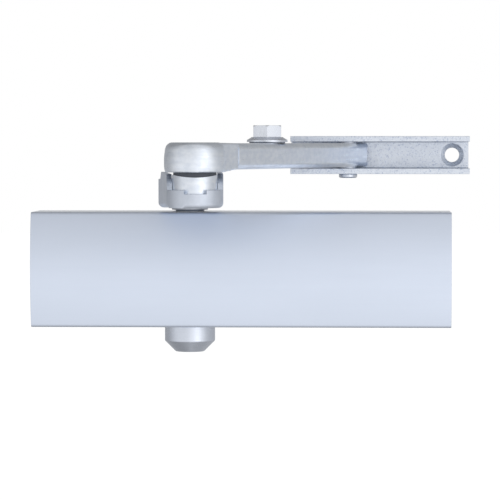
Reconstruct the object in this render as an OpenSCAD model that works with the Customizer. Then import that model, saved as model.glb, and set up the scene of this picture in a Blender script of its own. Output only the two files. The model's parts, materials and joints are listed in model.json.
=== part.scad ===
// Overhead hydraulic door closer with a two-piece folding arm and a frame bracket.
// Frame: origin at the centre of the door-fixing pattern on the back face, +X to the right,
// -Y away from the door and +Z up. The pose drawn is the closed door.

/* [Casting] */
// Length of the hydraulic casting
casting_length = 205; // [180:1:260]
// Height of the casting's back plate
plate_height = 57; // [53:0.5:72]
// Thickness of the back plate
plate_thickness = 8; // [6:0.5:10]
// Radius of the cylinder bore
bore_r = 16; // [15:0.5:19.5]
// Wall of the cylinder in front of the bore
cylinder_wall = 4.5; // [3.5:0.5:6]
// Wall between the bore and the back face
back_wall = 6; // [5:0.5:8]
// Distance between the door-fixing holes along X
fixing_spacing_x = 184; // [150:1:190]
// Distance between the door-fixing holes along Z
fixing_spacing_z = 47; // [46:0.5:49]
// Radius of a door-fixing hole
fixing_hole_r = 2.8; // [2:0.1:3.4]
// Radius of the clear path for a fixing screw's head
fixing_head_r = 4; // [3.6:0.1:4.8]

/* [Cover] */
// Wall of the extruded cover
cover_wall = 2; // [1.5:0.1:3]
// How far the front bows out at mid height
cover_rise = 4.5; // [2:0.5:8]
// Outside radius of the cover's long front corners
cover_corner_r = 2.2; // [1:0.1:4]
// Room between the casting's ends and the end caps
end_room = 7.5; // [6:0.5:15]
// Thickness of an end cap
end_cap_thickness = 2.5; // [2:0.1:4]
// Depth of an end cap's inner rim
end_cap_rim = 4; // [2:0.5:5]

/* [Pinion] */
// Place of the pinion along X
pinion_x = -28.3; // [-35:0.1:-20]
// Tooth size of the pinion and rack, as a module
gear_module = 1.6; // [1.4:0.05:1.8]
// Number of pinion teeth
gear_teeth = 10; // [9:1:11]
// Height of the toothed part
gear_width = 16; // [10:0.5:20]
// Radius of the bearing journals
journal_r = 8; // [6:0.1:9.5]
// Radius of the neck above the cover
neck_r = 7.75; // [6.5:0.05:8.9]
// Side of the square spindle
spindle_square = 10.5; // [8:0.1:12.5]
// Height of an upper or lower bearing
bearing_width = 7; // [5:0.5:8]
// Outside radius of the bearings and their nuts
bearing_r = 11; // [10:0.1:13]
// Height of a bearing nut
nut_height = 3.5; // [3:0.1:4]
// Largest turn of the pinion from the closed door, in degrees
arm_swing = 165; // [90:1:170]

/* [Cap] */
// Outside radius of the pinion cap under the cover
cap_r = 13.6; // [12.6:0.1:17]
// Height of the cap below the cover
cap_height = 14; // [12:0.5:20]
// Height of the cap's bottom chamfer
cap_chamfer = 5.9; // [2:0.1:7]

/* [Spring] */
// Wire radius of the closing spring
spring_wire_r = 2.5; // [2:0.1:3]
// Number of turns
spring_turns = 9; // [6:1:10]
// Room between the spring and the bore
spring_side_gap = 1.3; // [0.5:0.1:3]

/* [Main arm] */
// Distance from the pinion to the elbow
arm_length = 180; // [150:1:220]
// Outside radius of the arm's round elbow end
arm_end_r = 13.6; // [13.4:0.1:16.4]
// Outside radius of the arm's round pinion end
arm_root_r = 17; // [14.5:0.1:20.4]
// Sheet thickness of the arm
arm_gauge = 2.6; // [2:0.1:3.2]
// Gap between the cover's top and the arm's underside
arm_lift = 6; // [4.5:0.1:8]
// Drop of the arm's web from the elbow end to the pinion end
arm_drop = 3.4; // [2:0.1:3.5]
// Height of the arm's flanges along the length
arm_flange = 11.6; // [11.5:0.1:14]
// Height of the flanges beside the elbow
arm_flange_high = 16.1; // [15.5:0.1:19.5]
// Height of the wall round the elbow end
arm_end_wall = 8.6; // [6:0.1:11]
// Direction of the closed arm from straight out, in degrees
arm_rest_angle = 4.3; // [-4:0.1:6]
// Radius of the hub under the arm
hub_r = 9.8; // [8:0.1:12]
// Radius of the spacer under the elbow
elbow_spacer_r = 10.9; // [9:0.1:10.9]
// Radius of the elbow pin
elbow_pin_r = 5; // [4:0.1:6]

/* [Forearm] */
// Radius of the forged elbow drum
drum_r = 14.8; // [12:0.1:17.6]
// Height of the drum
drum_height = 14.3; // [13:0.1:17]
// Height of the pressed link
link_height = 12.8; // [11:0.1:15.4]
// Half width of the link
link_half = 10.3; // [9:0.1:11]
// Sheet thickness of the link
link_gauge = 2.4; // [2:0.1:2.9]
// Distance from the elbow to the link's front end
link_start = 29.6; // [26:0.2:36]
// How far the forearm can be drawn out
arm_extension = 40; // [10:1:44]
// Distance from the elbow to the clamp bolt
bolt_reach = 88.4; // [84:0.2:106]
// Radius of the clamp bolt's shank
bolt_r = 4; // [3:0.1:4.8]
// Width across the flats of the bolt's head
bolt_flats = 14; // [12:0.5:16]
// Turn of the hexagon from the forearm's line, in degrees
bolt_turn = 23; // [0:1:60]
// Height of the hexagon
bolt_hex = 5.9; // [4:0.1:7]
// Radius of the bolt's flange
bolt_flange_r = 10.3; // [9:0.1:12]
// Thickness of the bolt's flange
bolt_flange = 2.5; // [1.5:0.1:3]

/* [Frame bracket] */
// Sheet thickness of the bracket
bracket_gauge = 3; // [2.5:0.1:3.6]
// Length of the bracket
bracket_length = 96.5; // [81:0.5:116]
// Depth of the bracket from the frame
bracket_depth = 25; // [23:0.5:30]
// Distance from the frame to the pivot
pivot_depth = 14.5; // [14.2:0.1:17.4]
// Place of the pivot along X
pivot_x = 57.1; // [48:0.1:70]
// Distance from the bracket's left end to the pivot
pivot_inset = 31; // [26:0.1:36]
// Radius of the pivot rivet
pivot_r = 4; // [3:0.1:4.8]
// Radius of the rivet's lower head
pivot_head_r = 4.95; // [4.9:0.05:6]
// Height of the rivet's lower head
pivot_head = 2.2; // [1.5:0.1:3]
// Distance between the bracket's two fixing holes
bracket_spacing = 78.7; // [65:0.1:84]
// Radius of a bracket fixing hole
bracket_hole_r = 3.9; // [3.2:0.1:4.6]
// Radius of the countersink at the surface
bracket_sink_r = 6.3; // [5.2:0.1:7.1]

/* [Fits] */
// Running clearance of shafts and the piston
running = 0.04; // [0.02:0.01:0.08]
// Clearance of pieces that are fixed together
seated = 0.05; // [0.02:0.01:0.1]
// Clearance of the tongue that slides in the link
sliding = 0.1; // [0.05:0.01:0.2]
// Gap between the cover and the casting's plate
cover_side_gap = 0.35; // [0.2:0.05:1]
// Gap between the cover's front and the cylinder
cover_front_gap = 1.5; // [0.5:0.1:3]
// Gap between arm parts that pass over each other
arm_gap = 0.5; // [0.4:0.1:1]
// Gap above and below the link in the bracket
link_gap = 0.8; // [0.4:0.1:1.5]
// Gap between the elbow drum and the arm's flanges
drum_gap = 0.9; // [0.5:0.1:1.5]
// Play between pinion and rack teeth
backlash = 0.2; // [0.1:0.05:0.3]

/* [Hidden] */
round_fn = 64;
small_fn = 32;
edge = 0.6; // small chamfers on turned pieces
past = 1; // how far a cut runs past the face it opens

// Casting and cover
bore_y = -(back_wall + bore_r);
cylinder_r = bore_r + cylinder_wall;
casting_half = casting_length / 2;
plate_half = plate_height / 2;
cover_length = casting_length + 2 * (end_room + end_cap_thickness);
cover_half = plate_half + cover_side_gap + cover_wall;
cover_depth = cylinder_r - bore_y + cover_front_gap + cover_wall;
cover_back = -0.3;
front_r = (pow(cover_half, 2) + pow(cover_rise, 2)) / (2 * cover_rise);
plug_length = 10;
tower_r = bearing_r + 4;
block_half = cylinder_r - 1.3;

// Pinion, rack and piston
pressure_angle = 25;
pitch_r = gear_module * gear_teeth / 2;
base_r = pitch_r * cos(pressure_angle);
tip_r = pitch_r + 0.9 * gear_module;
root_r = pitch_r - 1.1 * gear_module;
rack_tip = 0.8 * gear_module;
rack_root = 1.2 * gear_module;
rack_pitch = PI * gear_module;
rack_side_gap = 0.3; // from each end of the rack's teeth to the ends of the gear
rack_half = gear_width / 2 - rack_side_gap;
flank_steps = 6;
stroke = pitch_r * arm_swing * PI / 180;
piston_r = bore_r - running;
window_gap = 1.5;
window_left = pinion_x - stroke - tip_r - window_gap;
window_right = pinion_x + tip_r + window_gap;
piston_left = window_left - 18;
piston_right = window_right + 22;
seat_thickness = 3;
spring_left = piston_right + seat_thickness;
spring_right = casting_half - plug_length;
spring_mean_r = bore_r - spring_side_gap - spring_wire_r;
check_r = 3.2;
check_bore_r = 4.6;
check_passage_r = 2.2;
check_depth = 9;
retainer_thickness = 1.5;

// Bearings and spindle, measured up from the pinion's middle
bearing_top = plate_half - nut_height;
bearing_bottom = bearing_top - bearing_width;
shoulder_r = tip_r + 0.6;
seal_height = nut_height - 1;
nut_bore_r = neck_r + 1.5;
cover_top = cover_half;
hub_bottom = cover_top + 1;
hub_height = 11.5;
spindle_top = hub_bottom + hub_height - 1;
spindle_bottom = -cover_top - 9;
spindle_hole_r = 3;
spindle_hole_depth = 14;
neck_hole_r = neck_r + 1.7;
cap_wall = 2.4;
cap_spigot_r = cap_r - 1.2;
cap_bottom = -cover_top - cap_height;
cap_hollow_r = cap_r - cap_wall;

// Valve screws round the bore
valve_r = 2.5;
valve_length = 12;
valve_depth = 18;
valve_distance = bore_r + 1.8 + valve_r;
valve_rib_r = valve_r + 1.8;
gallery_r = 1.5;
gallery_end = pinion_x + 20;
rib_end = gallery_end + 5;
valve_seat = 3;
CLOSING = 230; // direction of each valve from the bore, in degrees from +Y towards +Z
LATCHING = 130;
BACKCHECK = 50;
VALVES = [CLOSING, LATCHING, BACKCHECK];

// Clips that hold the cover
clip_gauge = 1.2;
clip_depth = 5;
clip_inset = 1.2;
clip_reach = end_room - end_cap_rim - 0.3;
clip_screw_r = 1.5;
clip_screw_z = 12;

// Arm levels
arm_bottom = cover_top + arm_lift;
arm_low = arm_bottom - arm_drop; // underside of the web round the hub
web_top = arm_bottom + arm_gauge;
web_level = 20; // how far the web stays level from the hub's and the elbow pin's centres
flange_top = arm_bottom + arm_flange;
flange_high = arm_bottom + arm_flange_high;
bracket_bottom = flange_top + arm_gap + pivot_head;
link_bottom = bracket_bottom + bracket_gauge + link_gap;
link_top = link_bottom + link_height;
bracket_top = link_top + link_gap + bracket_gauge;
drum_bottom = flange_high + drum_gap;
drum_top = drum_bottom + drum_height;
bracket_middle = (bracket_bottom + bracket_top) / 2;
elbow = [pinion_x + arm_length * sin(arm_rest_angle), bore_y - arm_length * cos(arm_rest_angle)];
pivot = [pivot_x, -pivot_depth];
forearm_length = norm(pivot - elbow);
forearm_angle = atan2(pivot[1] - elbow[1], pivot[0] - elbow[0]);
spacer_top = drum_bottom - 2.4;
spacer_scoop = 1.4;
washer_seat = spacer_top - 0.4; // floor of the washer's seat, under the scoop's lowest line
thrust_r = 10.4;
arm_rise_start = 40; // where the low flanges end, from the pinion
arm_rise = 24; // length of the slope up to the high flanges
horn_end = 1.5; // how far the high flanges reach past the elbow pin
horn_step = 3.4; // height of the horns' blunt ends

// Elbow arm and link
link_bend = 0.8; // inside radius of the link's bends
tongue_height = link_height - 2 * (link_gauge + sliding);
tongue_bottom = link_bottom + link_gauge + sliding;
tongue_right = link_half - link_gauge - link_bend - 0.2;
tongue_width = 15;
tongue_end = bolt_reach + 22;
bar_right = 10;
bar_left = 8.5;
shoulder_gap = seated; // the link pushed right in rests on the forearm's shoulder
slot_margin = 0.5;
link_end_r = link_half + 0.3;
washer_thickness = 0.6;
washer_r = bolt_flange_r - 1.2;

// Points on an arc about [cx, cy], from one angle to another
function arc(cx, cy, r, from, to, steps) =
    [for (i = [0:steps]) let (a = from + (to - from) * i / steps) [cx + r * cos(a), cy + r * sin(a)]];

// Outline of an arm along X with round ends of radius root at 0 and tip at length
function arm_outline(length, root, tip, steps = 24) = let (lean = asin((root - tip) / length))
    concat(arc(length, 0, tip, lean - 90, 90 - lean, steps), arc(0, 0, root, 90 - lean, 270 + lean, steps));

// Cover section as [y, z], pulled in by t from the outside; the back runs to y = back
function cover_outline(t, back) =
    let (half = cover_half - t, R = front_r - t, r = max(0.3, cover_corner_r - t),
        centre = front_r - cover_depth, zc = half - r, yc = centre - sqrt(pow(R - r, 2) - zc * zc),
        lean = asin(zc / (R - r)))
    concat([[back, -half]],
        arc(yc, -zc, r, -90, lean - 180, 5),
        arc(centre, 0, R, lean - 180, -180 - lean, 32),
        arc(yc, zc, r, -180 - lean, -270, 5),
        [[back, half]]);

function involute(a) = (tan(a) - a * PI / 180) * 180 / PI;
function half_tooth(r) =
    90 / gear_teeth + involute(pressure_angle) - backlash / 2 / pitch_r * 180 / PI
    - (r > base_r ? involute(acos(base_r / r)) : 0);
function flank_r(i) = i == 0 ? root_r : base_r + (tip_r - base_r) * (i - 1) / (flank_steps - 1);
function gear_tooth(middle) = concat(
    [for (i = [0:flank_steps]) let (a = middle - half_tooth(flank_r(i))) flank_r(i) * [cos(a), sin(a)]],
    [for (i = [flank_steps:-1:0]) let (a = middle + half_tooth(flank_r(i))) flank_r(i) * [cos(a), sin(a)]]);

// Extrude a [y, z] section along X
module along_x(from, to) { translate([from, 0, 0]) rotate([90, 0, 90]) linear_extrude(to - from) children(); }
// A round bar along X in the bore's line, or moved by [y, z]
module rod_x(from, to, r, y = bore_y, z = 0, fn = round_fn) {
    translate([from, y, z]) rotate([0, 90, 0]) cylinder(h = to - from, r = r, $fn = fn);
}
module ring(bottom, top, outer, inner, fn = round_fn) {
    translate([0, 0, bottom]) difference() {
        cylinder(h = top - bottom, r = outer, $fn = fn);
        translate([0, 0, -past]) cylinder(h = top - bottom + 2 * past, r = inner, $fn = fn);
    }
}
module at_pinion() { translate([pinion_x, bore_y, 0]) children(); }
module at_elbow() { translate([elbow[0], elbow[1], 0]) children(); }
module at_pivot() { translate([pivot[0], pivot[1], 0]) children(); }
// Local +X runs from the pinion to the elbow
module on_arm() { at_pinion() rotate([0, 0, arm_rest_angle - 90]) children(); }
// Local +X runs from the elbow to the pivot
module on_forearm() { at_elbow() rotate([0, 0, forearm_angle]) children(); }
module at_valve(angle) {
    translate([0, bore_y + valve_distance * cos(angle), valve_distance * sin(angle)]) children();
}
module flip_z(down) { scale([1, 1, down ? -1 : 1]) children(); }

// ---- hydraulic body ----

module casting() {
    color("lightgray") difference() {
        union() {
            translate([-casting_half, -plate_thickness, -plate_half])
                cube([casting_length, plate_thickness, plate_height]);
            translate([-casting_half, bore_y, -block_half])
                cube([casting_length, -bore_y - plate_thickness / 2, 2 * block_half]);
            rod_x(-casting_half, casting_half, cylinder_r);
            at_pinion() translate([0, 0, -plate_half]) cylinder(h = plate_height, r = tower_r, $fn = round_fn);
            for (angle = VALVES) at_valve(angle) rod_x(-casting_half, rib_end, valve_rib_r, 0, 0, small_fn);
        }
        rod_x(-casting_half - past, casting_half + past, bore_r);
        at_pinion() {
            translate([0, 0, -plate_half - past])
                cylinder(h = plate_height + 2 * past, r = shoulder_r, $fn = round_fn);
            for (down = [false, true]) flip_z(down) translate([0, 0, bearing_bottom])
                cylinder(h = plate_half - bearing_bottom + past, r = bearing_r, $fn = round_fn);
        }
        for (x = [-1, 1], z = [-1, 1]) translate([x * fixing_spacing_x / 2, past, z * fixing_spacing_z / 2])
            rotate([90, 0, 0]) {
                cylinder(h = plate_thickness + 2 * past, r = fixing_hole_r, $fn = small_fn);
                translate([0, 0, plate_thickness + past])
                    cylinder(h = cover_depth, r = fixing_head_r, $fn = small_fn);
            }
        for (angle = VALVES) at_valve(angle) {
            rod_x(-casting_half - past, valve_depth - casting_half, valve_r, 0, 0, small_fn);
            rod_x(-casting_half, gallery_end, gallery_r, 0, 0, small_fn);
        }
        for (side = [-1, 1], z = [-1, 1]) translate([side * casting_half, -clip_inset - clip_depth / 2, z * clip_screw_z])
            rotate([0, 90, 0]) cylinder(h = 16, r = clip_screw_r, $fn = small_fn, center = true);
    }
}

module cover() {
    color("lightsteelblue") difference() {
        along_x(-cover_length / 2, cover_length / 2) polygon(cover_outline(0, cover_back));
        along_x(-cover_length / 2 - past, cover_length / 2 + past) polygon(cover_outline(cover_wall, past));
        at_pinion() cylinder(h = cover_half + past, r = neck_hole_r, $fn = round_fn);
        at_pinion() translate([0, 0, -cover_half - past])
            cylinder(h = cover_half, r = cap_spigot_r + seated, $fn = round_fn);
    }
}

module end_cap(side) {
    outside = side * cover_length / 2;
    inside = outside - side * end_cap_thickness;
    color("slategray") union() {
        along_x(min(outside, inside), max(outside, inside))
            polygon(cover_outline(cover_wall + seated, cover_back));
        difference() {
            along_x(min(inside, inside - side * end_cap_rim), max(inside, inside - side * end_cap_rim))
                polygon(cover_outline(cover_wall + seated, cover_back));
            along_x(-cover_length, cover_length) polygon(cover_outline(cover_wall + 1.6, past));
        }
    }
}
module end_cap_left() { end_cap(-1); }
module end_cap_right() { end_cap(1); }

module cover_clips() {
    reach = plate_half - 1.5;
    spread = plate_half;
    color("silver") for (side = [-1, 1]) difference() {
        translate([side < 0 ? -casting_half : casting_half, -clip_inset, 0]) rotate([90, 0, 0])
            linear_extrude(clip_depth) scale([side, 1])
            polygon([[0, -reach], [clip_gauge, -reach], [clip_reach - 0.6, -spread], [clip_reach, -spread + 1],
                [clip_gauge, -reach + 4], [clip_gauge, reach - 4], [clip_reach, spread - 1],
                [clip_reach - 0.6, spread], [clip_gauge, reach], [0, reach]]);
        for (z = [-1, 1]) translate([side * casting_half, -clip_inset - clip_depth / 2, z * clip_screw_z])
            rotate([0, 90, 0]) cylinder(h = 10, r = clip_screw_r + seated, $fn = small_fn, center = true);
    }
}

module clip_screws() {
    shank = 6;
    color("dimgray") for (side = [-1, 1], z = [-1, 1])
        translate([side * (casting_half + clip_gauge), -clip_inset - clip_depth / 2, z * clip_screw_z])
            rotate([0, side * 90, 0]) {
                translate([0, 0, -shank]) cylinder(h = shank + 0.5, r = clip_screw_r - seated, $fn = small_fn);
                difference() {
                    cylinder(h = 1.4, r = 2.4, $fn = small_fn);
                    translate([-3, -0.3, 0.8]) cube([6, 0.6, 1]);
                }
            }
}

module end_plug(side) {
    inside = casting_half - plug_length;
    groove = 3;
    color("gray") scale([side, 1, 1]) difference() {
        rod_x(inside, casting_half, bore_r - seated);
        difference() {
            rod_x(inside + groove, inside + groove + 2.4, bore_r + past);
            rod_x(inside, casting_half, bore_r - 2.3);
        }
        translate([casting_half - 5, bore_y, 0]) rotate([0, 90, 0]) cylinder(h = 6, r = 7, $fn = 6);
    }
}
module end_plug_left() { end_plug(-1); }
module end_plug_right() { end_plug(1); }

module plug_seal(side) {
    middle = casting_half - plug_length + 4.2;
    color("black") translate([side * middle, bore_y, 0]) rotate([0, 90, 0])
        rotate_extrude($fn = round_fn) translate([bore_r - 1.1 - seated, 0]) circle(r = 1.05, $fn = small_fn);
}
module plug_seal_left() { plug_seal(-1); }
module plug_seal_right() { plug_seal(1); }

module bearing(down) {
    color("darkgoldenrod") at_pinion() flip_z(down)
        ring(bearing_bottom, bearing_top, bearing_r - seated, journal_r + running);
}
module upper_bearing() { bearing(false); }
module lower_bearing() { bearing(true); }

module bearing_nut(down) {
    color("gray") at_pinion() flip_z(down) difference() {
        ring(bearing_top, plate_half, bearing_r - seated, nut_bore_r);
        for (turn = [0, 90]) rotate([0, 0, turn]) translate([-bearing_r, -1.25, plate_half - 1])
            cube([2 * bearing_r, 2.5, 2]);
    }
}
module upper_bearing_nut() { bearing_nut(false); }
module lower_bearing_nut() { bearing_nut(true); }

module shaft_seal(down) {
    color("black") at_pinion() flip_z(down)
        ring(bearing_top, bearing_top + seal_height, nut_bore_r - seated, neck_r + running);
}
module upper_shaft_seal() { shaft_seal(false); }
module lower_shaft_seal() { shaft_seal(true); }

module pinion_cap() {
    floor_z = cap_bottom + cap_wall;
    color("silver") at_pinion() rotate_extrude($fn = round_fn)
        polygon([[0, cap_bottom], [cap_r - cap_chamfer, cap_bottom], [cap_r, cap_bottom + cap_chamfer],
            [cap_r, -cover_top - seated], [cap_spigot_r, -cover_top - seated],
            [cap_spigot_r, -plate_half - seated], [cap_hollow_r, -plate_half - seated],
            [cap_hollow_r, floor_z + cap_chamfer - 1.5], [cap_hollow_r - cap_chamfer + 1.5, floor_z],
            [0, floor_z]]);
}

// ---- pinion and piston ----

module pinion() {
    teeth = [for (k = [0:gear_teeth - 1]) each gear_tooth(-90 + (k + 0.5) * 360 / gear_teeth)];
    color("dimgray") at_pinion() difference() {
        union() {
            translate([0, 0, -gear_width / 2]) linear_extrude(gear_width) polygon(teeth);
            for (down = [false, true]) flip_z(down) translate([0, 0, gear_width / 2])
                cylinder(h = bearing_top - gear_width / 2, r = journal_r, $fn = round_fn);
            translate([0, 0, bearing_top]) cylinder(h = hub_bottom - seated - bearing_top, r = neck_r, $fn = round_fn);
            translate([0, 0, -cover_top]) cylinder(h = cover_top - bearing_top, r = neck_r, $fn = round_fn);
            for (end = [[spindle_bottom, -bearing_top], [bearing_top, spindle_top]])
                rotate([0, 0, arm_rest_angle]) translate([-spindle_square / 2, -spindle_square / 2, end[0]])
                    cube([spindle_square, spindle_square, end[1] - end[0]]);
        }
        translate([0, 0, spindle_top - spindle_hole_depth])
            cylinder(h = spindle_hole_depth + past, r = spindle_hole_r, $fn = small_fn);
        translate([0, 0, spindle_bottom - past])
            cylinder(h = spindle_hole_depth + past, r = spindle_hole_r, $fn = small_fn);
    }
}

// One rack tooth, pointing +Y from the pitch line
module rack_tooth() {
    half = rack_pitch / 4 - backlash / 2;
    lean = tan(pressure_angle);
    depth = rack_root + 0.5;
    polygon([[-half - depth * lean, -depth], [-half + rack_tip * lean, rack_tip],
        [half - rack_tip * lean, rack_tip], [half + depth * lean, -depth]]);
}

module piston() {
    wall_front = bore_y - pitch_r - rack_root;
    wall_back = bore_y + tip_r + 1.2;
    left_teeth = floor((pinion_x - window_left) / rack_pitch);
    right_teeth = floor((window_right - pinion_x) / rack_pitch);
    color("silver") difference() {
        rod_x(piston_left, piston_right, piston_r);
        difference() {
            translate([window_left, wall_front, -bore_r])
                cube([window_right - window_left, wall_back - wall_front, 2 * bore_r]);
            for (k = [-left_teeth:right_teeth]) translate([pinion_x + k * rack_pitch, bore_y - pitch_r, -rack_half])
                linear_extrude(2 * rack_half) rack_tooth();
        }
        rod_x(piston_left - past, piston_left + check_depth, check_bore_r, bore_y, 0, small_fn);
        rod_x(piston_left, window_left + past, check_passage_r, bore_y, 0, small_fn);
    }
}

module check_ball() {
    // the ball rests on the edge of the passage
    rest = sqrt(pow(check_r, 2) - pow(check_passage_r, 2));
    color("lightgray") translate([piston_left + check_depth - rest - seated, bore_y, 0])
        sphere(r = check_r, $fn = small_fn);
}

module check_retainer() {
    color("goldenrod") difference() {
        rod_x(piston_left, piston_left + retainer_thickness, check_bore_r - seated, bore_y, 0, small_fn);
        for (k = [0:3]) translate([0, bore_y, 0]) rotate([k * 90, 0, 0])
            rod_x(piston_left - past, piston_left + retainer_thickness + past, 0.9, 2.6, 0, 16);
    }
}

module spring_seat() {
    color("gray") union() {
        rod_x(piston_right, spring_left, spring_mean_r + spring_wire_r);
        rod_x(piston_right, spring_left + 4, spring_mean_r - spring_wire_r - 1);
    }
}

// Coil with closed ends, swept as rings of wire_sides points
module closing_spring() {
    wire_sides = 8;
    steps = spring_turns * 18;
    span = spring_right - spring_left - 2 * spring_wire_r;
    closed = 2 * spring_wire_r * 1.02; // advance of each closed end turn
    function advance(t) = let (turn = t * spring_turns, free = spring_turns - 2)
        turn < 1 ? closed * turn
        : turn > spring_turns - 1 ? span - closed * (spring_turns - turn)
        : closed + (span - 2 * closed) * (turn - 1) / free;
    points = [for (i = [0:steps], k = [0:wire_sides - 1])
        let (a = i / steps * spring_turns * 360, b = k * 360 / wire_sides,
            r = spring_mean_r + spring_wire_r * cos(b))
        [spring_left + spring_wire_r + advance(i / steps) + spring_wire_r * sin(b) * 0.98,
            bore_y + r * cos(a), r * sin(a)]];
    last = steps * wire_sides;
    sides = [for (i = [0:steps - 1], k = [0:wire_sides - 1])
        let (n = (k + 1) % wire_sides)
        [i * wire_sides + k, i * wire_sides + n, (i + 1) * wire_sides + n, (i + 1) * wire_sides + k]];
    caps = [[for (k = [wire_sides - 1:-1:0]) k], [for (k = [0:wire_sides - 1]) last + k]];
    color("dimgray") polyhedron(points, concat(sides, caps), convexity = 10);
}

// ---- valve screws ----

module valve_screw(angle) {
    left = -casting_half + valve_seat;
    groove = left + 6;
    color("silver") at_valve(angle) difference() {
        union() {
            rod_x(left, left + valve_length, valve_r - running, 0, 0, small_fn);
            translate([left + valve_length, 0, 0]) rotate([0, 90, 0])
                cylinder(h = 2.5, r1 = valve_r - running, r2 = 0.6, $fn = small_fn);
        }
        difference() {
            rod_x(groove, groove + 1.4, valve_r + past, 0, 0, small_fn);
            rod_x(groove - past, groove + 1.4 + past, valve_r - 0.9, 0, 0, small_fn);
        }
        translate([left - past, -0.4, -valve_r]) cube([past + 1.2, 0.8, 2 * valve_r]);
    }
}
module valve_seal(angle) {
    color("black") at_valve(angle) translate([-casting_half + valve_seat + 6.7, 0, 0]) rotate([0, 90, 0])
        rotate_extrude($fn = small_fn) translate([valve_r - 0.46, 0]) circle(r = 0.4, $fn = 16);
}
module closing_valve() { valve_screw(CLOSING); }
module latching_valve() { valve_screw(LATCHING); }
module backcheck_valve() { valve_screw(BACKCHECK); }
module closing_valve_seal() { valve_seal(CLOSING); }
module latching_valve_seal() { valve_seal(LATCHING); }
module backcheck_valve_seal() { valve_seal(BACKCHECK); }

// ---- main arm ----

// Line of the web from the pinion end to the elbow end as [x, z], raised by lift
function web_line(start, stop, lift) = [[start, arm_low + lift], [web_level, arm_low + lift],
    [arm_length - web_level, arm_bottom + lift], [stop, arm_bottom + lift]];

// Side view of the arm as [x, z]: low flanges, a rise towards the elbow and a low end wall
module arm_side() {
    start = -arm_root_r - past;
    stop = arm_length + arm_end_r + past;
    wall_top = arm_bottom + arm_end_wall;
    horn = arm_length + horn_end;
    polygon(concat(web_line(start, stop, 0), [[stop, wall_top], [horn + 1, wall_top],
        [horn, wall_top + horn_step], [horn - 5, flange_high], [arm_rise_start + arm_rise, flange_high],
        [arm_rise_start, flange_top], [start, flange_top]]));
}

// Space over the web
module arm_trough() {
    start = -arm_root_r - past;
    stop = arm_length + arm_end_r + past;
    polygon(concat(web_line(start, stop, arm_gauge), [[stop, drum_top], [start, drum_top]]));
}

// Extrude a side view [x, z] across the arm, both ways from its centre line
module across_arm() {
    translate([0, arm_root_r + past, 0]) rotate([90, 0, 0]) linear_extrude(2 * (arm_root_r + past)) children();
}

module main_arm() {
    notch_width = 10.6;
    notch_depth = 1.9;
    color("silver") on_arm() difference() {
        intersection() {
            translate([0, 0, arm_low - past]) linear_extrude(drum_top)
                polygon(arm_outline(arm_length, arm_root_r, arm_end_r));
            across_arm() arm_side();
        }
        intersection() {
            translate([0, 0, arm_low]) linear_extrude(drum_top)
                polygon(arm_outline(arm_length, arm_root_r - arm_gauge, arm_end_r - arm_gauge));
            across_arm() arm_trough();
        }
        translate([arm_length, 0, 0]) cylinder(h = drum_top, r = elbow_pin_r + seated, $fn = round_fn);
        translate([0, 0, arm_low - past]) cylinder(h = arm_gauge + 2 * past, r = hub_r + seated, $fn = round_fn);
        translate([arm_length, -notch_width / 2, arm_bottom + arm_end_wall - notch_depth])
            cube([arm_end_r + past, notch_width, notch_depth + past]);
    }
}

// Hub with a square socket, set into the arm's web
module arm_hub() {
    color("gray") on_arm() difference() {
        translate([0, 0, hub_bottom]) cylinder(h = hub_height, r = hub_r, $fn = round_fn);
        translate([-spindle_square / 2 - seated, -spindle_square / 2 - seated, hub_bottom - past])
            cube([spindle_square + 2 * seated, spindle_square + 2 * seated, hub_height + 2 * past]);
    }
}

module arm_washer() {
    color("silver") at_pinion()
        ring(hub_bottom + hub_height, hub_bottom + hub_height + 1.5, hub_r - 0.8, spindle_hole_r + 0.2);
}

module arm_screw() {
    under = hub_bottom + hub_height + 1.5;
    top = flange_top - arm_gap;
    color("dimgray") at_pinion() difference() {
        union() {
            translate([0, 0, under]) cylinder(h = top - under, r = 6.2, $fn = round_fn);
            translate([0, 0, spindle_top - 10]) cylinder(h = under - spindle_top + 11, r = spindle_hole_r - seated, $fn = small_fn);
        }
        translate([0, 0, top - 1.8]) cylinder(h = 3, r = 2.9, $fn = 6);
    }
}

module elbow_spacer() {
    scoop_half = elbow_spacer_r + 0.5;
    scoop_r = (pow(scoop_half, 2) + pow(spacer_scoop, 2)) / (2 * spacer_scoop);
    color("silver") on_arm() translate([arm_length, 0, 0]) difference() {
        translate([0, 0, web_top]) cylinder(h = spacer_top + spacer_scoop - web_top, r = elbow_spacer_r, $fn = round_fn);
        translate([-elbow_spacer_r - past, 0, spacer_top + scoop_r]) rotate([0, 90, 0])
            cylinder(h = 2 * (elbow_spacer_r + past), r = scoop_r, $fn = 128);
        translate([0, 0, washer_seat])
            cylinder(h = spacer_top + spacer_scoop + past - washer_seat, r = thrust_r + seated, $fn = round_fn);
        translate([0, 0, web_top - past]) cylinder(h = arm_flange_high, r = elbow_pin_r + seated, $fn = round_fn);
    }
}

module thrust_washer() {
    color("whitesmoke") at_elbow() ring(washer_seat, drum_bottom - running, thrust_r, elbow_pin_r + seated);
}

module elbow_pin() {
    color("lightgray") at_elbow()
        translate([0, 0, arm_bottom]) cylinder(h = drum_top - arm_bottom, r = elbow_pin_r, $fn = round_fn);
}

// ---- forearm ----

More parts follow.
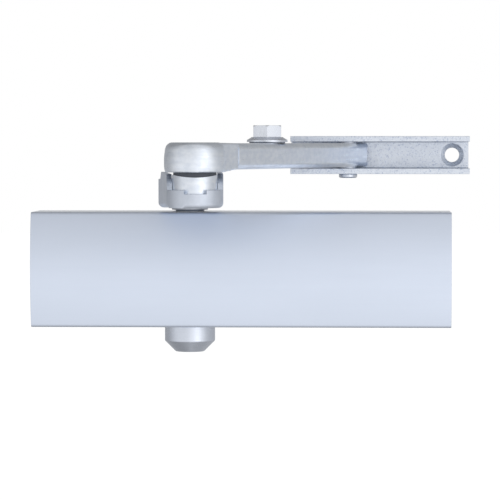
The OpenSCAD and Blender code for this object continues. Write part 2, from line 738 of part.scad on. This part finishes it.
module elbow_arm() {
    bar_end = link_start - shoulder_gap;
    taper_end = bar_end - 2;
    taper_start = drum_r - 1;
    color("gainsboro") on_forearm() difference() {
        union() {
            rotate_extrude($fn = round_fn)
                polygon([[0, drum_bottom], [drum_r - 0.5, drum_bottom], [drum_r, drum_bottom + 2.4],
                    [drum_r, drum_bottom + 7], [drum_r - 0.5, drum_top - 3], [drum_r - 1.1, drum_top - 1.4],
                    [drum_r - 2.8, drum_top], [0, drum_top]]);
            intersection() {
                translate([0, 0, drum_bottom - past]) linear_extrude(drum_height + 2 * past)
                    polygon([[0, -bar_right], [bar_end, -bar_right], [bar_end, bar_left], [taper_start + 6, bar_left], [0, drum_r - 3]]);
                translate([0, drum_r, 0]) rotate([90, 0, 0]) linear_extrude(2 * drum_r)
                    polygon([[0, drum_bottom], [taper_start, drum_bottom], [taper_end, link_bottom], [bar_end, link_bottom],
                        [bar_end, link_top], [taper_end, link_top], [taper_start, drum_top - 0.2], [0, drum_top - 0.2]]);
            }
            translate([bar_end - past, -tongue_right, tongue_bottom])
                cube([tongue_end - bar_end + past, tongue_width, tongue_height]);
        }
        translate([0, 0, drum_bottom - past]) cylinder(h = drum_height + 2 * past, r = elbow_pin_r + running, $fn = round_fn);
        translate([bolt_reach, 0, tongue_bottom - past])
            cylinder(h = tongue_height + 2 * past, r = bolt_r, $fn = small_fn);
    }
}

module clamp_bolt() {
    under = link_top + washer_thickness;
    color("silver") on_forearm() translate([bolt_reach, 0, 0]) difference() {
        union() {
            translate([0, 0, tongue_bottom]) cylinder(h = under - tongue_bottom + past, r = bolt_r - seated, $fn = small_fn);
            translate([0, 0, under]) cylinder(h = bolt_flange * 0.4, r = bolt_flange_r, $fn = round_fn);
            translate([0, 0, under + bolt_flange * 0.4])
                cylinder(h = bolt_flange * 0.6, r1 = bolt_flange_r, r2 = bolt_flats / 2 + 0.8, $fn = round_fn);
            intersection() {
                translate([0, 0, under]) rotate([0, 0, bolt_turn])
                    cylinder(h = bolt_flange + bolt_hex, r = bolt_flats / sqrt(3), $fn = 6);
                translate([0, 0, under]) cylinder(h = bolt_flange + bolt_hex, r1 = bolt_flats + 2, r2 = bolt_flats / 2 + 0.4, $fn = round_fn);
            }
        }
        translate([0, 0, under + bolt_flange + bolt_hex - 0.7]) cylinder(h = past + 0.7, r = bolt_flats / 2 - 2.2, $fn = round_fn);
    }
}

module clamp_washer() {
    color("dimgray") on_forearm() translate([bolt_reach, 0, 0])
        ring(link_top + running, link_top + washer_thickness, washer_r, bolt_r + seated);
}

// Section of the link as [y, z], a channel open to the left with bent edges
module link_section() {
    outer = link_gauge + link_bend;
    corner = outer - link_half;
    polygon(concat([[link_half, link_bottom]],
        arc(corner, link_bottom + outer, outer, -90, -180, 6),
        arc(corner, link_top - outer, outer, 180, 90, 6),
        [[link_half, link_top], [link_half, link_top - link_gauge]],
        arc(corner, link_top - outer, link_bend, 90, 180, 4),
        arc(corner, link_bottom + outer, link_bend, 180, 270, 4),
        [[link_half, link_bottom + link_gauge]]));
}

// Pressed channel with round flange ends at the pivot and a slot for the clamp bolt
module link() {
    slot_half = bolt_r + slot_margin;
    slot_from = bolt_reach - arm_extension;
    web_end = forearm_length + 2;
    color("silver") on_forearm() difference() {
        intersection() {
            along_x(link_start, forearm_length + link_end_r) link_section();
            translate([0, 0, link_bottom - past]) linear_extrude(link_height + 2 * past)
                polygon(concat([[link_start - past, link_half + past], [link_start - past, -link_half - past],
                    [forearm_length, -link_half - past]], arc(forearm_length, 0, link_end_r, -76, 103.5, 28)));
        }
        translate([web_end, -link_end_r - past, link_bottom + link_gauge])
            cube([link_end_r, 2 * (link_end_r + past), link_height - 2 * link_gauge]);
        translate([slot_from, 0, link_top - link_gauge - past]) {
            cylinder(h = link_gauge + 2 * past, r = slot_half, $fn = small_fn);
            translate([arm_extension, 0, 0]) cylinder(h = link_gauge + 2 * past, r = slot_half, $fn = small_fn);
            translate([0, -slot_half, 0]) cube([arm_extension, 2 * slot_half, link_gauge + 2 * past]);
        }
        translate([forearm_length, 0, link_bottom - past])
            cylinder(h = link_height + 2 * past, r = pivot_r + 1, $fn = round_fn);
    }
}

// Plain bush pressed into the link's two flanges
module pivot_bush() {
    color("dimgray") at_pivot() union() {
        ring(link_bottom, link_top, pivot_r + 1 - seated, pivot_r + running);
        ring(link_bottom + link_gauge + seated, link_top - link_gauge - seated, pivot_r + 2.2, pivot_r + 0.6);
    }
}

module pivot_rivet() {
    color("silver") at_pivot() rotate_extrude($fn = round_fn)
        polygon([[0, bracket_bottom - pivot_head], [pivot_head_r - edge, bracket_bottom - pivot_head],
            [pivot_head_r, bracket_bottom - pivot_head + edge], [pivot_head_r, bracket_bottom - seated],
            [pivot_r, bracket_bottom - seated], [pivot_r, bracket_top], [0, bracket_top]]);
}

// ---- frame bracket ----

module frame_bracket() {
    left = pivot_x - pivot_inset;
    back = pivot[1] + pivot_depth;
    bend = bracket_gauge + 0.6;
    inner = 0.6;
    hole_x = left + bracket_length / 2;
    color("silver") difference() {
        along_x(left, left + bracket_length) difference() {
            polygon(concat([[back - bracket_depth, bracket_bottom]],
                arc(back - bend, bracket_bottom + bend, bend, -90, 0, 6),
                arc(back - bend, bracket_top - bend, bend, 0, 90, 6),
                [[back - bracket_depth, bracket_top]]));
            polygon(concat([[back - bracket_depth - past, bracket_bottom + bracket_gauge]],
                arc(back - bend, bracket_bottom + bend, inner, -90, 0, 3),
                arc(back - bend, bracket_top - bend, inner, 0, 90, 3),
                [[back - bracket_depth - past, bracket_top - bracket_gauge]]));
        }
        for (side = [-1, 1]) translate([hole_x + side * bracket_spacing / 2, back, bracket_middle])
            rotate([90, 0, 0]) {
                translate([0, 0, -past]) cylinder(h = bracket_gauge + 2 * past, r = bracket_hole_r, $fn = round_fn);
                translate([0, 0, bracket_gauge - (bracket_sink_r - bracket_hole_r)])
                    cylinder(h = bracket_sink_r - bracket_hole_r + 0.01, r1 = bracket_hole_r,
                        r2 = bracket_sink_r + 0.01, $fn = round_fn);
            }
        at_pivot() translate([0, 0, bracket_bottom - past])
            cylinder(h = bracket_top - bracket_bottom + 2 * past, r = pivot_r + seated, $fn = round_fn);
    }
}

casting();
cover();
end_cap_left();
end_cap_right();
cover_clips();
clip_screws();
end_plug_left();
end_plug_right();
plug_seal_left();
plug_seal_right();
upper_bearing();
lower_bearing();
upper_bearing_nut();
lower_bearing_nut();
upper_shaft_seal();
lower_shaft_seal();
pinion_cap();
pinion();
piston();
check_ball();
check_retainer();
spring_seat();
closing_spring();
closing_valve();
latching_valve();
backcheck_valve();
closing_valve_seal();
latching_valve_seal();
backcheck_valve_seal();
main_arm();
arm_hub();
arm_washer();
arm_screw();
elbow_spacer();
elbow_pin();
thrust_washer();
elbow_arm();
clamp_bolt();
clamp_washer();
link();
pivot_bush();
pivot_rivet();
frame_bracket();
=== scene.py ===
"""Looks for the door closer: satin cover, plated arms and galvanised bracket, in a soft white studio."""

import json
import math

import bmesh
import bpy
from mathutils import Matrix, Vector


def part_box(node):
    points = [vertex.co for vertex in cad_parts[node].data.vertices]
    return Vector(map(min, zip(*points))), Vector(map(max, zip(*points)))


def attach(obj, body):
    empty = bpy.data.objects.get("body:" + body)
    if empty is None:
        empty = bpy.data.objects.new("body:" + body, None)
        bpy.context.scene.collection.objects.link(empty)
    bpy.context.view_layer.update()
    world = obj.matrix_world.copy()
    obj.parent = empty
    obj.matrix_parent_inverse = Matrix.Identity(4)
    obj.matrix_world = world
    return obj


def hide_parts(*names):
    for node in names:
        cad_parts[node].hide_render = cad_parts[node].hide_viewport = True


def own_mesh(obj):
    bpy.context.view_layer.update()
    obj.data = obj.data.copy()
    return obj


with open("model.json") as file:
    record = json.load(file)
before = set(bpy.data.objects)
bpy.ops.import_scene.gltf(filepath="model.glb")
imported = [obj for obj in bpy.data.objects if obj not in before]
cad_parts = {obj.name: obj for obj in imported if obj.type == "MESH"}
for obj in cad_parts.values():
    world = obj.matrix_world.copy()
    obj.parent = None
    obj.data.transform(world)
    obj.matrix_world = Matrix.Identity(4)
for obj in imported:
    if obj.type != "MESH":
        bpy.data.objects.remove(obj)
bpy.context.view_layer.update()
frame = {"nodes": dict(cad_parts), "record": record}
MM = 0.001

record = frame["record"]
SLOT_OF = {part["node"]: part["material_slot"] for part in record["subparts"]}
BODY_OF = {node: body for body, nodes in record["behaviour"]["bodies"].items() for node in nodes}

# ---------------------------------------------------------------- camera and studio

EYE = Vector((68, -1576, 68)) * MM
AIM = Vector((5.2, -46, 10.9)) * MM
VIEW_WIDTH = 266.25 * MM  # width of the view at the aim point
FLOOR_LEVEL = -360 * MM
FLOOR_HALF = 12  # half the floor's width, in metres
CLIP_END = 50  # how far the camera sees, in metres


def add_camera():
    """An upright camera at EYE that looks at AIM and sees VIEW_WIDTH there."""
    data = bpy.data.cameras.new("camera")
    camera = bpy.data.objects.new("camera", data)
    bpy.context.scene.collection.objects.link(camera)
    camera.location = EYE
    camera.rotation_euler = (AIM - EYE).to_track_quat("-Z", "Y").to_euler()
    data.lens = data.sensor_width * (AIM - EYE).length / VIEW_WIDTH
    data.clip_end = CLIP_END
    bpy.context.scene.camera = camera


def add_softbox(name, place, target, size, power):
    """A rectangular light that faces its target; places and sizes in metres, power in watts."""
    data = bpy.data.lights.new(name, "AREA")
    data.shape = "RECTANGLE"
    data.size, data.size_y = size
    data.energy = power
    light = bpy.data.objects.new(name, data)
    bpy.context.scene.collection.objects.link(light)
    light.location = place
    light.rotation_euler = (Vector(target) - Vector(place)).to_track_quat("-Z", "Y").to_euler()


# Brightness of the surround by direction, as (degrees, level): round the object from the camera's side,
# positive to the right, and up from the level of the camera. The two levels are multiplied.
ROUND_STOPS = [
    (-180, 0.54), (-118, 0.44), (-82, 0.70), (-55, 0.92), (-30, 0.93), (-8, 0.97),
    (15, 1.18), (38, 1.20), (64, 1.04), (93, 0.66), (134, 0.56), (180, 0.54),
]
RISE_STOPS = [
    (-90, 0.72), (-58, 0.80), (-33, 0.93), (-12, 1.03), (0, 0.97), (33, 0.66), (60, 0.62), (90, 0.72),
]
BRIGHTEST = 1.3  # top of the curves that hold those levels
SURROUND_COLOUR = (0.985, 0.99, 1.0, 1)
WHITE = (1, 1, 1, 1)
PAPER_GREY = (0.5, 0.5, 0.5, 1)
PAPER_GLOW = 0.8


def add_world():
    """A soft studio surround: bright in front and low, dimmer above and behind, plain white to the eye."""
    world = bpy.data.worlds.new("studio")
    bpy.context.scene.world = world
    world.use_nodes = True
    tree = world.node_tree
    nodes, links = tree.nodes, tree.links
    nodes.clear()
    out = nodes.new("ShaderNodeOutputWorld")
    mix = nodes.new("ShaderNodeMixShader")
    seen = nodes.new("ShaderNodeBackground")
    seen.inputs["Color"].default_value = WHITE
    lit = nodes.new("ShaderNodeBackground")
    lit.inputs["Color"].default_value = SURROUND_COLOUR
    path = nodes.new("ShaderNodeLightPath")
    place = nodes.new("ShaderNodeTexCoord")
    split = nodes.new("ShaderNodeSeparateXYZ")
    links.new(place.outputs["Generated"], split.inputs[0])
    towards_camera = math_node(tree, "MULTIPLY", split.outputs["Y"], -1)
    around = math_node(tree, "ARCTAN2", split.outputs["X"], towards_camera)
    up = math_node(tree, "ARCSINE", split.outputs["Z"], 0)
    level = math_node(tree, "MULTIPLY", stops(tree, around, ROUND_STOPS), stops(tree, up, RISE_STOPS))
    links.new(level, lit.inputs["Strength"])
    links.new(path.outputs["Is Camera Ray"], mix.inputs[0])
    links.new(lit.outputs[0], mix.inputs[1])
    links.new(seen.outputs[0], mix.inputs[2])
    links.new(mix.outputs[0], out.inputs["Surface"])


def stops(tree, angle, levels):
    """Level that follows an angle in radians through [(degrees, level), ...]."""
    low, high = levels[0][0], levels[-1][0]
    curve = tree.nodes.new("ShaderNodeFloatCurve")
    points = curve.mapping.curves[0].points
    while len(points) < len(levels):
        points.new(0.5, 0.5)
    for point, (degrees, level) in zip(points, levels):
        point.location = ((degrees - low) / (high - low), level / BRIGHTEST)
    curve.mapping.update()
    share = spread(tree, angle, math.radians(low), math.radians(high), 0, 1)
    tree.links.new(share, curve.inputs["Value"])
    return math_node(tree, "MULTIPLY", curve.outputs[0], BRIGHTEST)


def math_node(tree, operation, first, second):
    """One sum; each side is a number or another node's output."""
    node = tree.nodes.new("ShaderNodeMath")
    node.operation = operation
    for socket, value in zip(node.inputs, (first, second)):
        if isinstance(value, (int, float)):
            socket.default_value = value
        else:
            tree.links.new(value, socket)
    return node.outputs[0]


def add_floor():
    """Pale paper far enough down to show no edge; it lights and mirrors nothing."""
    bm = bmesh.new()
    bmesh.ops.create_grid(bm, x_segments=1, y_segments=1, size=FLOOR_HALF)
    bmesh.ops.translate(bm, verts=bm.verts, vec=(0, 0, FLOOR_LEVEL))
    floor = mesh_object("floor", bm)
    floor.data.materials.append(floor_paper())
    floor.visible_glossy = False
    floor.visible_diffuse = False


def floor_paper():
    """White paper that is clear from below, so that the underside can be looked at."""
    material = bpy.data.materials.new("floor_paper")
    material.use_nodes = True
    tree = material.node_tree
    shader = tree.nodes["Principled BSDF"]
    shader.inputs["Base Color"].default_value = PAPER_GREY
    shader.inputs["Roughness"].default_value = 1
    shader.inputs["Specular IOR Level"].default_value = 0
    shader.inputs["Emission Color"].default_value = WHITE
    shader.inputs["Emission Strength"].default_value = PAPER_GLOW
    side = tree.nodes.new("ShaderNodeNewGeometry")
    clear = tree.nodes.new("ShaderNodeBsdfTransparent")
    mix = tree.nodes.new("ShaderNodeMixShader")
    tree.links.new(side.outputs["Backfacing"], mix.inputs[0])
    tree.links.new(shader.outputs[0], mix.inputs[1])
    tree.links.new(clear.outputs[0], mix.inputs[2])
    tree.links.new(mix.outputs[0], tree.nodes["Material Output"].inputs["Surface"])
    return material


# ---------------------------------------------------------------- materials
# A pattern's scale is waves a metre along X, Y and Z, so a small number along one axis draws it out that way.

GRAIN_DEPTH = 0.02 * MM


def coordinates(tree, scale):
    """The piece's own place, scaled for a pattern."""
    place = tree.nodes.new("ShaderNodeTexCoord")
    mapping = tree.nodes.new("ShaderNodeMapping")
    mapping.inputs["Scale"].default_value = scale
    tree.links.new(place.outputs["Object"], mapping.inputs["Vector"])
    return mapping.outputs["Vector"]


def noise(tree, scale, detail=4.0, roughness=0.5):
    """Cloudy values about 0.5; the roughness is the share that each finer layer adds."""
    node = tree.nodes.new("ShaderNodeTexNoise")
    node.inputs["Scale"].default_value = 1.0
    node.inputs["Detail"].default_value = detail
    node.inputs["Roughness"].default_value = roughness
    tree.links.new(coordinates(tree, scale), node.inputs["Vector"])
    return node.outputs["Fac"]


def spread(tree, value, low, high, out_low, out_high):
    """Stretches low..high to out_low..out_high and holds the ends."""
    node = tree.nodes.new("ShaderNodeMapRange")
    node.inputs["From Min"].default_value = low
    node.inputs["From Max"].default_value = high
    node.inputs["To Min"].default_value = out_low
    node.inputs["To Max"].default_value = out_high
    tree.links.new(value, node.inputs["Value"])
    return node.outputs[0]


def blend_colours(tree, factor, first, second):
    """The first colour where the factor is 0, the second where it is 1."""
    node = tree.nodes.new("ShaderNodeMix")
    node.data_type = "RGBA"
    node.inputs["A"].default_value = (*first, 1)
    node.inputs["B"].default_value = (*second, 1)
    tree.links.new(factor, node.inputs["Factor"])
    return node.outputs["Result"]


def bump(tree, height, strength, distance, under=None):
    """Small relief of that depth in metres, laid over the relief under it."""
    node = tree.nodes.new("ShaderNodeBump")
    node.inputs["Strength"].default_value = strength
    node.inputs["Distance"].default_value = distance
    tree.links.new(height, node.inputs["Height"])
    if under is not None:
        tree.links.new(under, node.inputs["Normal"])
    return node.outputs["Normal"]


def new_material(name, metallic, roughness):
    material = bpy.data.materials.new(name)
    material.use_nodes = True
    shader = material.node_tree.nodes["Principled BSDF"]
    shader.inputs["Metallic"].default_value = metallic
    shader.inputs["Roughness"].default_value = roughness
    return material, material.node_tree, shader


def tint(tree, shader, pattern, first, second):
    """Colours the surface between two tones, as the middle of the pattern says."""
    share = spread(tree, pattern, 0.35, 0.65, 0, 1)
    tree.links.new(blend_colours(tree, share, first, second), shader.inputs["Base Color"])


def vary_gloss(tree, shader, pattern, smooth, rough):
    """Roughness between two values, as the middle of the pattern says."""
    tree.links.new(spread(tree, pattern, 0.3, 0.7, smooth, rough), shader.inputs["Roughness"])


def plain_metal(name, dark, light, roughness, grain=(900, 900, 900), patch=60, depth=GRAIN_DEPTH,
                strength=0.3):
    """Metal with soft patches between two colours, varied gloss and a fine grain."""
    material, tree, shader = new_material(name, 1.0, roughness)
    patches = noise(tree, (patch, patch, patch), 5)
    fine = noise(tree, grain, 3)
    tint(tree, shader, patches, dark, light)
    vary_gloss(tree, shader, fine, roughness - 0.05, roughness + 0.06)
    tree.links.new(bump(tree, fine, strength, depth), shader.inputs["Normal"])
    return material


def drawn_cover():
    """Satin anodised extrusion: fine drawing lines along X over soft patches."""
    material, tree, shader = new_material("satin_cover", 1.0, 0.4)
    lines = noise(tree, (12, 2600, 2600), 4, 0.6)
    etch = noise(tree, (1500, 1500, 1500), 2)
    patches = noise(tree, (14, 30, 30), 3)
    share = spread(tree, patches, 0.3, 0.7, 0, 1)
    satin = blend_colours(tree, share, (0.72, 0.78, 0.89), (0.745, 0.805, 0.92))
    tree.links.new(satin, shader.inputs["Base Color"])
    vary_gloss(tree, shader, lines, 0.37, 0.47)
    shader.inputs["Sheen Weight"].default_value = 1.0
    shader.inputs["Sheen Roughness"].default_value = 0.25
    under = bump(tree, etch, 0.12, GRAIN_DEPTH)
    tree.links.new(bump(tree, lines, 0.10, GRAIN_DEPTH, under), shader.inputs["Normal"])
    return material


def forged_plate():
    """Forged steel under bright zinc: dimples, long level streaks and varied gloss."""
    material, tree, shader = new_material("forged_zinc", 1.0, 0.36)
    dimples = noise(tree, (260, 260, 420), 3)
    streaks = noise(tree, (45, 45, 1500), 4)
    fine = noise(tree, (1800, 1800, 1800), 2)
    tint(tree, shader, dimples, (0.78, 0.83, 0.91), (0.88, 0.92, 0.98))
    vary_gloss(tree, shader, streaks, 0.26, 0.48)
    grain = bump(tree, fine, 0.1, 0.03 * MM)
    streaked = bump(tree, streaks, 0.35, 0.06 * MM, grain)
    tree.links.new(bump(tree, dimples, 0.3, 0.25 * MM, streaked), shader.inputs["Normal"])
    return material


def spangled_sheet():
    """Galvanised sheet: small crystal spangles with their own tone, and fine darker specks."""
    material, tree, shader = new_material("spangled_zinc", 1.0, 0.36)
    cells = tree.nodes.new("ShaderNodeTexVoronoi")
    cells.inputs["Scale"].default_value = 1.0
    tree.links.new(coordinates(tree, (1100, 1100, 1100)), cells.inputs["Vector"])
    spangles = tree.nodes.new("ShaderNodeRGBToBW")
    tree.links.new(cells.outputs["Color"], spangles.inputs[0])
    spangle = spangles.outputs[0]
    patches = noise(tree, (160, 160, 160), 3)
    spangle_tone = spread(tree, spangle, 0.2, 0.8, 0, 0.7)
    patch_tone = spread(tree, patches, 0.3, 0.7, 0, 0.3)
    tone = math_node(tree, "ADD", spangle_tone, patch_tone)
    clean = blend_colours(tree, tone, (0.66, 0.705, 0.785), (0.80, 0.84, 0.905))
    specks = spread(tree, noise(tree, (1100, 1100, 1100), 2), 0.33, 0.43, 0, 1)
    dotted = blend_colours(tree, specks, (0.72, 0.75, 0.82), (1, 1, 1))
    shaded = tree.nodes.new("ShaderNodeMix")
    shaded.data_type = "RGBA"
    shaded.blend_type = "MULTIPLY"
    shaded.inputs["Factor"].default_value = 1.0
    tree.links.new(clean, shaded.inputs["A"])
    tree.links.new(dotted, shaded.inputs["B"])
    tree.links.new(shaded.outputs["Result"], shader.inputs["Base Color"])
    tree.links.new(spread(tree, spangle, 0, 1, 0.28, 0.48), shader.inputs["Roughness"])
    tree.links.new(bump(tree, spangle, 0.25, 0.05 * MM), shader.inputs["Normal"])
    return material


def moulded(name, colour, roughness):
    """Plastic or rubber with a fine moulded grain and slightly darker patches."""
    material, tree, shader = new_material(name, 0.0, roughness)
    fine = noise(tree, (1400, 1400, 1400), 3)
    patches = noise(tree, (50, 50, 50), 3)
    darker = tuple(channel * 0.9 for channel in colour)
    tint(tree, shader, patches, darker, colour)
    vary_gloss(tree, shader, fine, roughness - 0.06, roughness + 0.06)
    tree.links.new(bump(tree, fine, 0.3, 0.04 * MM), shader.inputs["Normal"])
    return material


LATHE_GRAIN = {"x": (2400, 60, 60), "z": (60, 60, 2400)}


def turned(name, dark, light, roughness, lathe_axis):
    """Turned metal: fine rings along the axis of the lathe."""
    grain = LATHE_GRAIN[lathe_axis]
    return plain_metal(name, dark, light, roughness, grain=grain, patch=80, depth=0.03 * MM)


MATERIALS = {
    "cast_alloy": plain_metal(
        "cast_alloy", (0.52, 0.53, 0.55), (0.58, 0.59, 0.61), 0.55, patch=90, depth=0.1 * MM, strength=0.45),
    "satin_cover": drawn_cover(),
    "grey_plastic": moulded("grey_plastic", (0.30, 0.33, 0.38), 0.5),
    "spring_steel": plain_metal(
        "spring_steel", (0.50, 0.51, 0.53), (0.60, 0.61, 0.63), 0.3, grain=(60, 60, 1800)),
    "plated_steel": plain_metal(
        "plated_steel", (0.68, 0.71, 0.78), (0.80, 0.83, 0.89), 0.28, strength=0.1),
    "machined_steel": turned("machined_steel", (0.52, 0.54, 0.58), (0.63, 0.65, 0.69), 0.32, "x"),
    "bearing_steel": turned("bearing_steel", (0.62, 0.63, 0.65), (0.72, 0.73, 0.75), 0.18, "z"),
    "dark_steel": turned("dark_steel", (0.20, 0.22, 0.26), (0.30, 0.33, 0.38), 0.38, "z"),
    "satin_cap": turned("satin_cap", (0.66, 0.70, 0.78), (0.72, 0.76, 0.84), 0.30, "z"),
    "brass": plain_metal("brass", (0.62, 0.45, 0.20), (0.74, 0.56, 0.28), 0.3),
    "oiled_spring": plain_metal("oiled_spring", (0.08, 0.08, 0.09), (0.16, 0.16, 0.17), 0.35),
    "seal_rubber": moulded("seal_rubber", (0.025, 0.025, 0.027), 0.6),
    "pressed_zinc": plain_metal(
        "pressed_zinc", (0.64, 0.69, 0.77), (0.73, 0.77, 0.85), 0.52,
        grain=(700, 700, 1500), patch=120, depth=0.05 * MM, strength=0.4),
    "forged_zinc": forged_plate(),
    "spangled_zinc": spangled_sheet(),
    # Near black: a dark washer and bush, made darker still as painted shade for the gap under the elbow drum
    "grey_nylon": moulded("grey_nylon", (0.07, 0.08, 0.10), 0.45),
}

# ---------------------------------------------------------------- shapes

MERGE_DISTANCE = 0.0005 * MM
FLAT_ANGLE = math.radians(0.4)  # faces that turn by less than this are one flat face
SHARP_ANGLE = math.radians(38)  # edges that turn by more than this stay sharp
EASED_ANGLE = math.radians(32)  # edges that turn by more than this are rounded
ARM_EASED_ANGLE = math.radians(40)


def mesh_object(name, bm):
    mesh = bpy.data.meshes.new(name)
    bm.to_mesh(mesh)
    bm.free()
    obj = bpy.data.objects.new(name, mesh)
    bpy.context.scene.collection.objects.link(obj)
    return obj


def merged_copy(node):
    """The CAD node's surface as one joined mesh with whole flat faces."""
    bm = bmesh.new()
    bm.from_mesh(frame["nodes"][node].data)
    bmesh.ops.remove_doubles(bm, verts=bm.verts, dist=MERGE_DISTANCE)
    bmesh.ops.dissolve_limit(bm, angle_limit=FLAT_ANGLE, verts=bm.verts, edges=bm.edges)
    bmesh.ops.recalc_face_normals(bm, faces=bm.faces)
    return bm


def shade(obj):
    """Smooth over the eased edges, with the flat faces kept flat."""
    mesh = obj.data
    mesh.polygons.foreach_set("use_smooth", [True] * len(mesh.polygons))
    mesh.set_sharp_from_angle(angle=SHARP_ANGLE)
    mesh.update()
    even = obj.modifiers.new("even_faces", "WEIGHTED_NORMAL")
    even.keep_sharp = True


def round_edges(bm, edges, width, segments, clamp):
    bmesh.ops.bevel(bm, geom=edges, offset=width, offset_type="OFFSET", segments=segments, profile=0.5,
                    affect="EDGES", clamp_overlap=clamp, material=-1)


def ease(bm, width, angle=EASED_ANGLE):
    """Round the edges that turn by more than the angle."""
    corners = [edge for edge in bm.edges if edge.is_manifold and edge.calc_face_angle() > angle]
    round_edges(bm, corners, width, segments=3, clamp=True)


def stand_for(obj, node):
    """The piece takes the place, body and finish of the CAD node."""
    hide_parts(node)
    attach(obj, BODY_OF[node])
    wear(obj, node)


def wear(obj, node):
    """The object takes the finish that the record gives the node."""
    obj.data.materials.clear()
    obj.data.materials.append(MATERIALS[SLOT_OF[node]])


# Width of the eased edges of each pressed, cast or turned piece, in millimetres.
EASED = {
    "cover": 0.25, "end_cap_left": 0.4, "end_cap_right": 0.4, "pinion_cap": 0.35, "arm_hub": 0.3,
    "arm_washer": 0.25, "arm_screw": 0.3, "elbow_spacer": 0.2, "elbow_pin": 0.5, "thrust_washer": 0.3,
    "clamp_bolt": 0.2, "clamp_washer": 0.1, "link": 0.25, "pivot_rivet": 0.3,
    "frame_bracket": 0.3, "cover_clips": 0.15, "clip_screws": 0.15,
}


def finished(node, width):
    """A CAD node's shape with its sharp edges eased."""
    bm = merged_copy(node)
    ease(bm, width)
    obj = mesh_object(node + "_finished", bm)
    shade(obj)
    stand_for(obj, node)


ARM_BEND = 2.3 * MM  # radius of the pressed bend round the main arm's web
ARM_EASE = 0.3 * MM
WEB_AREA = 200 * MM * MM  # the web's underside is larger than this, the rims of its holes are smaller
HUB_REACH = 11 * MM  # past the hub's edge on the web
PIN_REACH = 7 * MM  # past the pin's hole in the web


def pressed_arm():
    """The main arm as pressed: a wide bend round the web's outer edge and fine edges elsewhere."""
    bm = merged_copy("main_arm")
    sides = {face for face in bm.faces if abs(face.normal.z) < 0.1}
    under = {face for face in bm.faces if face.normal.z < -0.9 and face.calc_area() > WEB_AREA}
    bends = [edge for edge in bm.edges if not under.isdisjoint(edge.link_faces)
             and not sides.isdisjoint(edge.link_faces) and outer_wall(edge)]
    round_edges(bm, bends, ARM_BEND, segments=5, clamp=False)
    ease(bm, ARM_EASE, angle=ARM_EASED_ANGLE)
    obj = mesh_object("main_arm_pressed", bm)
    shade(obj)
    stand_for(obj, "main_arm")


def outer_wall(edge):
    """True where the edge belongs to the arm's outside, not to a hole in its web."""
    middle = (edge.verts[0].co + edge.verts[1].co) / 2
    from_hub = (middle - centre_of("arm_hub")).to_2d().length
    from_pin = (middle - centre_of("elbow_pin")).to_2d().length
    return from_hub > HUB_REACH and from_pin > PIN_REACH


def centre_of(node):
    low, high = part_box(node)
    return (Vector(low) + Vector(high)) / 2


FORGED_EASE = 0.5 * MM
SKIN_GRID = 0.55 * MM  # cell of the grid that the forged skin is drawn on


def forged_arm():
    """The elbow arm as forged: blended corners and a slightly uneven skin."""
    bm = merged_copy("elbow_arm")
    ease(bm, FORGED_EASE)
    obj = mesh_object("elbow_arm_forged", bm)
    skin = obj.modifiers.new("skin", "REMESH")
    skin.mode = "VOXEL"
    skin.voxel_size = SKIN_GRID
    skin.use_smooth_shade = True
    blend = obj.modifiers.new("blend", "SMOOTH")
    blend.factor = 0.5
    blend.iterations = 8
    stand_for(obj, "elbow_arm")


def coiled_spring():
    """The closing spring as one joined, smoothly shaded mesh of its own, in the spring's place."""
    obj = mesh_object("closing_spring_coil", merged_copy("closing_spring"))
    shade(obj)
    stand_for(obj, "closing_spring")
    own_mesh(obj)


# ---------------------------------------------------------------- the object and its studio

for name, obj in frame["nodes"].items():
    wear(obj, name)
for name, width in EASED.items():
    finished(name, width * MM)
pressed_arm()
forged_arm()
coiled_spring()

add_camera()
add_world()
add_floor()
add_softbox("key", place=(1.25, -1.6, 0.25), target=(0, -0.1, 0), size=(1.0, 1.4), power=1.6)
bpy.context.scene.view_settings.view_transform = "Standard"
